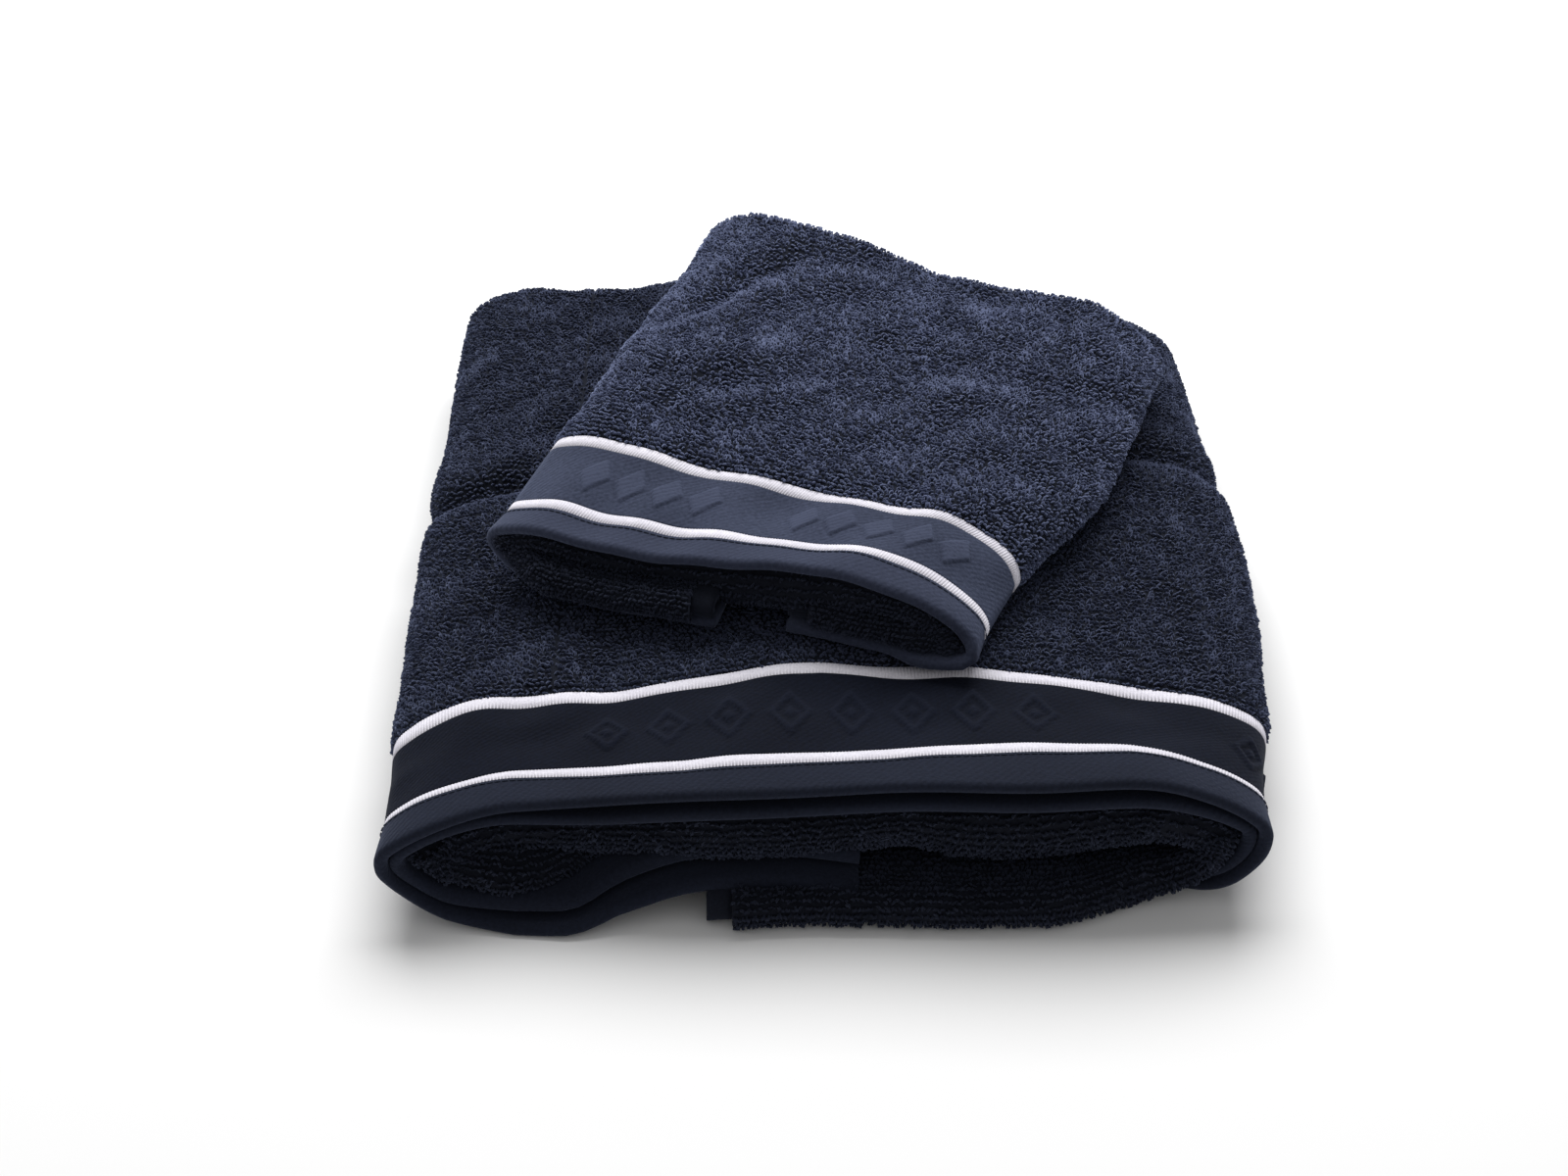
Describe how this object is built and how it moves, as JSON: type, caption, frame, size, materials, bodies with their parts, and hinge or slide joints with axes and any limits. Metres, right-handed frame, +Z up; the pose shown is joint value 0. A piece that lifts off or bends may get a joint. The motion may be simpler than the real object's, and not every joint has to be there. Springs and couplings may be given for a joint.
{
  "type": "folded towel set",
  "caption": "Folded terry bath towel with a smaller folded guest towel lying on it, each with a woven border between white stripes.",
  "frame": {"origin": "on the ground, under the middle of the set's bounding box", "axes": "+X along the bath towel's hem, to the right; +Y from the hem towards the back fold; +Z up"},
  "size_m": [0.3046, 0.3399, 0.093],
  "materials": {
    "navy_terry": "looped cotton pile",
    "woven_band": "flat fine twill",
    "hem_cloth": "flat fine twill",
    "white_stripe": "ribbed cotton",
    "navy_thread": "twisted thread",
    "label_cloth": "smooth tape"
  },
  "bodies": {
    "bath_towel": {"bath_care_label": "label_cloth", "bath_front_band": "woven_band", "bath_front_hem": "hem_cloth", "bath_front_lower_stripe": "white_stripe", "bath_front_upper_stripe": "white_stripe", "bath_hem_stitching": "navy_thread", "bath_second_band": "woven_band", "bath_second_hem": "hem_cloth", "bath_second_lower_stripe": "white_stripe", "bath_second_upper_stripe": "white_stripe", "bath_side_hem_left": "hem_cloth", "bath_side_hem_right": "hem_cloth", "bath_terry_cloth": "navy_terry"},
    "guest_towel": {"guest_care_label": "label_cloth", "guest_front_band": "woven_band", "guest_front_hem": "hem_cloth", "guest_front_lower_stripe": "white_stripe", "guest_front_upper_stripe": "white_stripe", "guest_hem_stitching": "navy_thread", "guest_inner_band": "woven_band", "guest_inner_hem": "hem_cloth", "guest_inner_lower_stripe": "white_stripe", "guest_inner_upper_stripe": "white_stripe", "guest_side_hem_left": "hem_cloth", "guest_side_hem_right": "hem_cloth", "guest_terry_cloth": "navy_terry"}
  },
  "joints": [
    {"name": "guest_towel_lift", "type": "slide", "parent": "bath_towel", "child": "guest_towel", "axis": [0, 0, 1], "range_m": [0, 0.15]}
  ]
}
